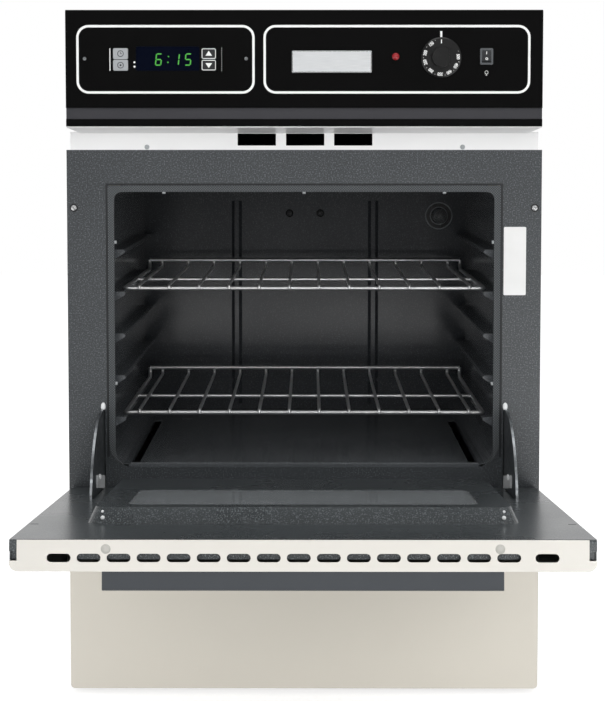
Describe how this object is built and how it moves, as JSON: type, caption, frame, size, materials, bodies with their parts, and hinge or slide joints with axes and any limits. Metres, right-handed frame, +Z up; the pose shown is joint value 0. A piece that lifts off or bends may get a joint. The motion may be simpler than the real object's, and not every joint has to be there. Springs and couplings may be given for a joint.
{
  "type": "built-in gas oven",
  "caption": "Built-in gas oven with a drop-down door on hinge arms, sliding wire racks, a control panel with dial and clock, and a broiler drawer below.",
  "frame": {"origin": "on the floor line, below the middle of the front frame's face, at the front edge of the base pan", "axes": "+Z up, -Y out of the oven's front, +X to the right as seen from the front"},
  "size_m": [0.6096, 1.0548, 0.8729],
  "materials": {
    "galvanised": "galvanised, dull spangle",
    "frame_enamel": "semi-gloss speckled porcelain enamel",
    "cream_enamel": "gloss porcelain enamel",
    "cavity_enamel": "gloss speckled porcelain enamel",
    "gasket_braid": "woven glass braid",
    "glass_wool": "loose fibre",
    "bay_steel": "aluminised, matt",
    "burner_steel": "aluminised, heat-toned",
    "ceramic": "glazed ceramic",
    "valve_aluminium": "die cast",
    "pipe_steel": "zinc plated",
    "black_plastic": "fine grain",
    "lamp_glass": "clear",
    "bright_metal": "polished",
    "spring_steel": "oiled wire",
    "panel_black": "gloss black coating",
    "circuit_plastic": "circuit board",
    "window_tint": "tinted, clear gloss",
    "red_lens": "clear tinted",
    "grey_plastic": "moulded",
    "knob_plastic": "moulded, satin",
    "rocker_plastic": "moulded",
    "key_plastic": "moulded",
    "rack_chrome": "bright plated wire",
    "door_enamel": "semi-gloss speckled porcelain enamel",
    "door_glass": "dark tinted",
    "handle_enamel": "semi-gloss paint",
    "arm_steel": "zinc plated"
  },
  "bodies": {
    "cabinet": {"base_pan": "galvanised", "side_panel_left": "galvanised", "side_panel_right": "galvanised", "top_panel": "galvanised", "back_panel": "galvanised", "front_frame": "frame_enamel", "vent_strip": "cream_enamel", "oven_side_left": "cavity_enamel", "oven_side_right": "cavity_enamel", "oven_top": "cavity_enamel", "oven_back": "cavity_enamel", "oven_floor": "cavity_enamel", "door_gasket": "gasket_braid", "insulation": "glass_wool", "flue_duct": "galvanised", "broiler_liner": "bay_steel", "drawer_rails": "bay_steel", "oven_burner": "burner_steel", "flame_spreader": "burner_steel", "igniter": "ceramic", "gas_valve": "valve_aluminium", "gas_pipe": "pipe_steel", "wiring_box": "galvanised", "cord_gland": "black_plastic", "lamp_socket": "ceramic", "oven_lamp": "lamp_glass", "sensor_bulb": "bright_metal", "hinge_brackets": "galvanised", "door_springs": "spring_steel", "control_panel": "panel_black", "clock_module": "circuit_plastic", "clock_window": "window_tint", "indicator_lens": "red_lens", "thermostat_body": "pipe_steel", "light_switch_body": "grey_plastic"},
    "oven_door": {"door_skin": "cream_enamel", "door_liner": "door_enamel", "door_insulation": "glass_wool", "door_glass_outer": "door_glass", "door_glass_inner": "door_glass", "door_handle": "handle_enamel", "door_screws": "bright_metal", "hinge_arm_left": "arm_steel", "hinge_arm_right": "arm_steel", "hinge_pins": "bright_metal"},
    "broiler_drawer": {"drawer_front": "cream_enamel", "drawer_front_liner": "galvanised", "drawer_handle": "handle_enamel", "drawer_frame": "bay_steel", "broiler_pan": "cavity_enamel", "broiler_grid": "cavity_enamel"},
    "upper_rack": {"upper_rack": "rack_chrome"},
    "lower_rack": {"lower_rack": "rack_chrome"},
    "thermostat_dial": {"thermostat_knob": "knob_plastic", "thermostat_shaft": "bright_metal"},
    "light_rocker": {"light_rocker": "rocker_plastic"},
    "key_upper_left": {"clock_key_upper_left": "key_plastic"},
    "key_lower_left": {"clock_key_lower_left": "key_plastic"},
    "key_upper_right": {"clock_key_upper_right": "key_plastic"},
    "key_lower_right": {"clock_key_lower_right": "key_plastic"}
  },
  "joints": [
    {"name": "oven_door_hinge", "type": "hinge", "parent": "cabinet", "child": "oven_door", "pos_m": [0, -0.018, 0.2475], "axis": [1, 0, 0], "range_deg": [-85, 0], "deforming": ["door_springs"]},
    {"name": "broiler_drawer_slide", "type": "slide", "parent": "cabinet", "child": "broiler_drawer", "axis": [0, -1, 0], "range_m": [0, 0.32]},
    {"name": "upper_rack_slide", "type": "slide", "parent": "cabinet", "child": "upper_rack", "axis": [0, -1, 0], "range_m": [0, 0.3]},
    {"name": "lower_rack_slide", "type": "slide", "parent": "cabinet", "child": "lower_rack", "axis": [0, -1, 0], "range_m": [0, 0.3]},
    {"name": "thermostat_turn", "type": "hinge", "parent": "cabinet", "child": "thermostat_dial", "pos_m": [0.172, -0.04, 0.8132], "axis": [0, -1, 0], "range_deg": [0, 280]},
    {"name": "light_rocker_tilt", "type": "hinge", "parent": "cabinet", "child": "light_rocker", "pos_m": [0.229, -0.033, 0.8145], "axis": [1, 0, 0], "range_deg": [0, 14]},
    {"name": "upper_left_key_press", "type": "slide", "parent": "cabinet", "child": "key_upper_left", "axis": [0, 1, 0], "range_m": [0, 0.0008], "stiffness_N_per_m": 500, "springref_m": -0.001},
    {"name": "lower_left_key_press", "type": "slide", "parent": "cabinet", "child": "key_lower_left", "axis": [0, 1, 0], "range_m": [0, 0.0008], "stiffness_N_per_m": 500, "springref_m": -0.001},
    {"name": "upper_right_key_press", "type": "slide", "parent": "cabinet", "child": "key_upper_right", "axis": [0, 1, 0], "range_m": [0, 0.0008], "stiffness_N_per_m": 500, "springref_m": -0.001},
    {"name": "lower_right_key_press", "type": "slide", "parent": "cabinet", "child": "key_lower_right", "axis": [0, 1, 0], "range_m": [0, 0.0008], "stiffness_N_per_m": 500, "springref_m": -0.001}
  ]
}
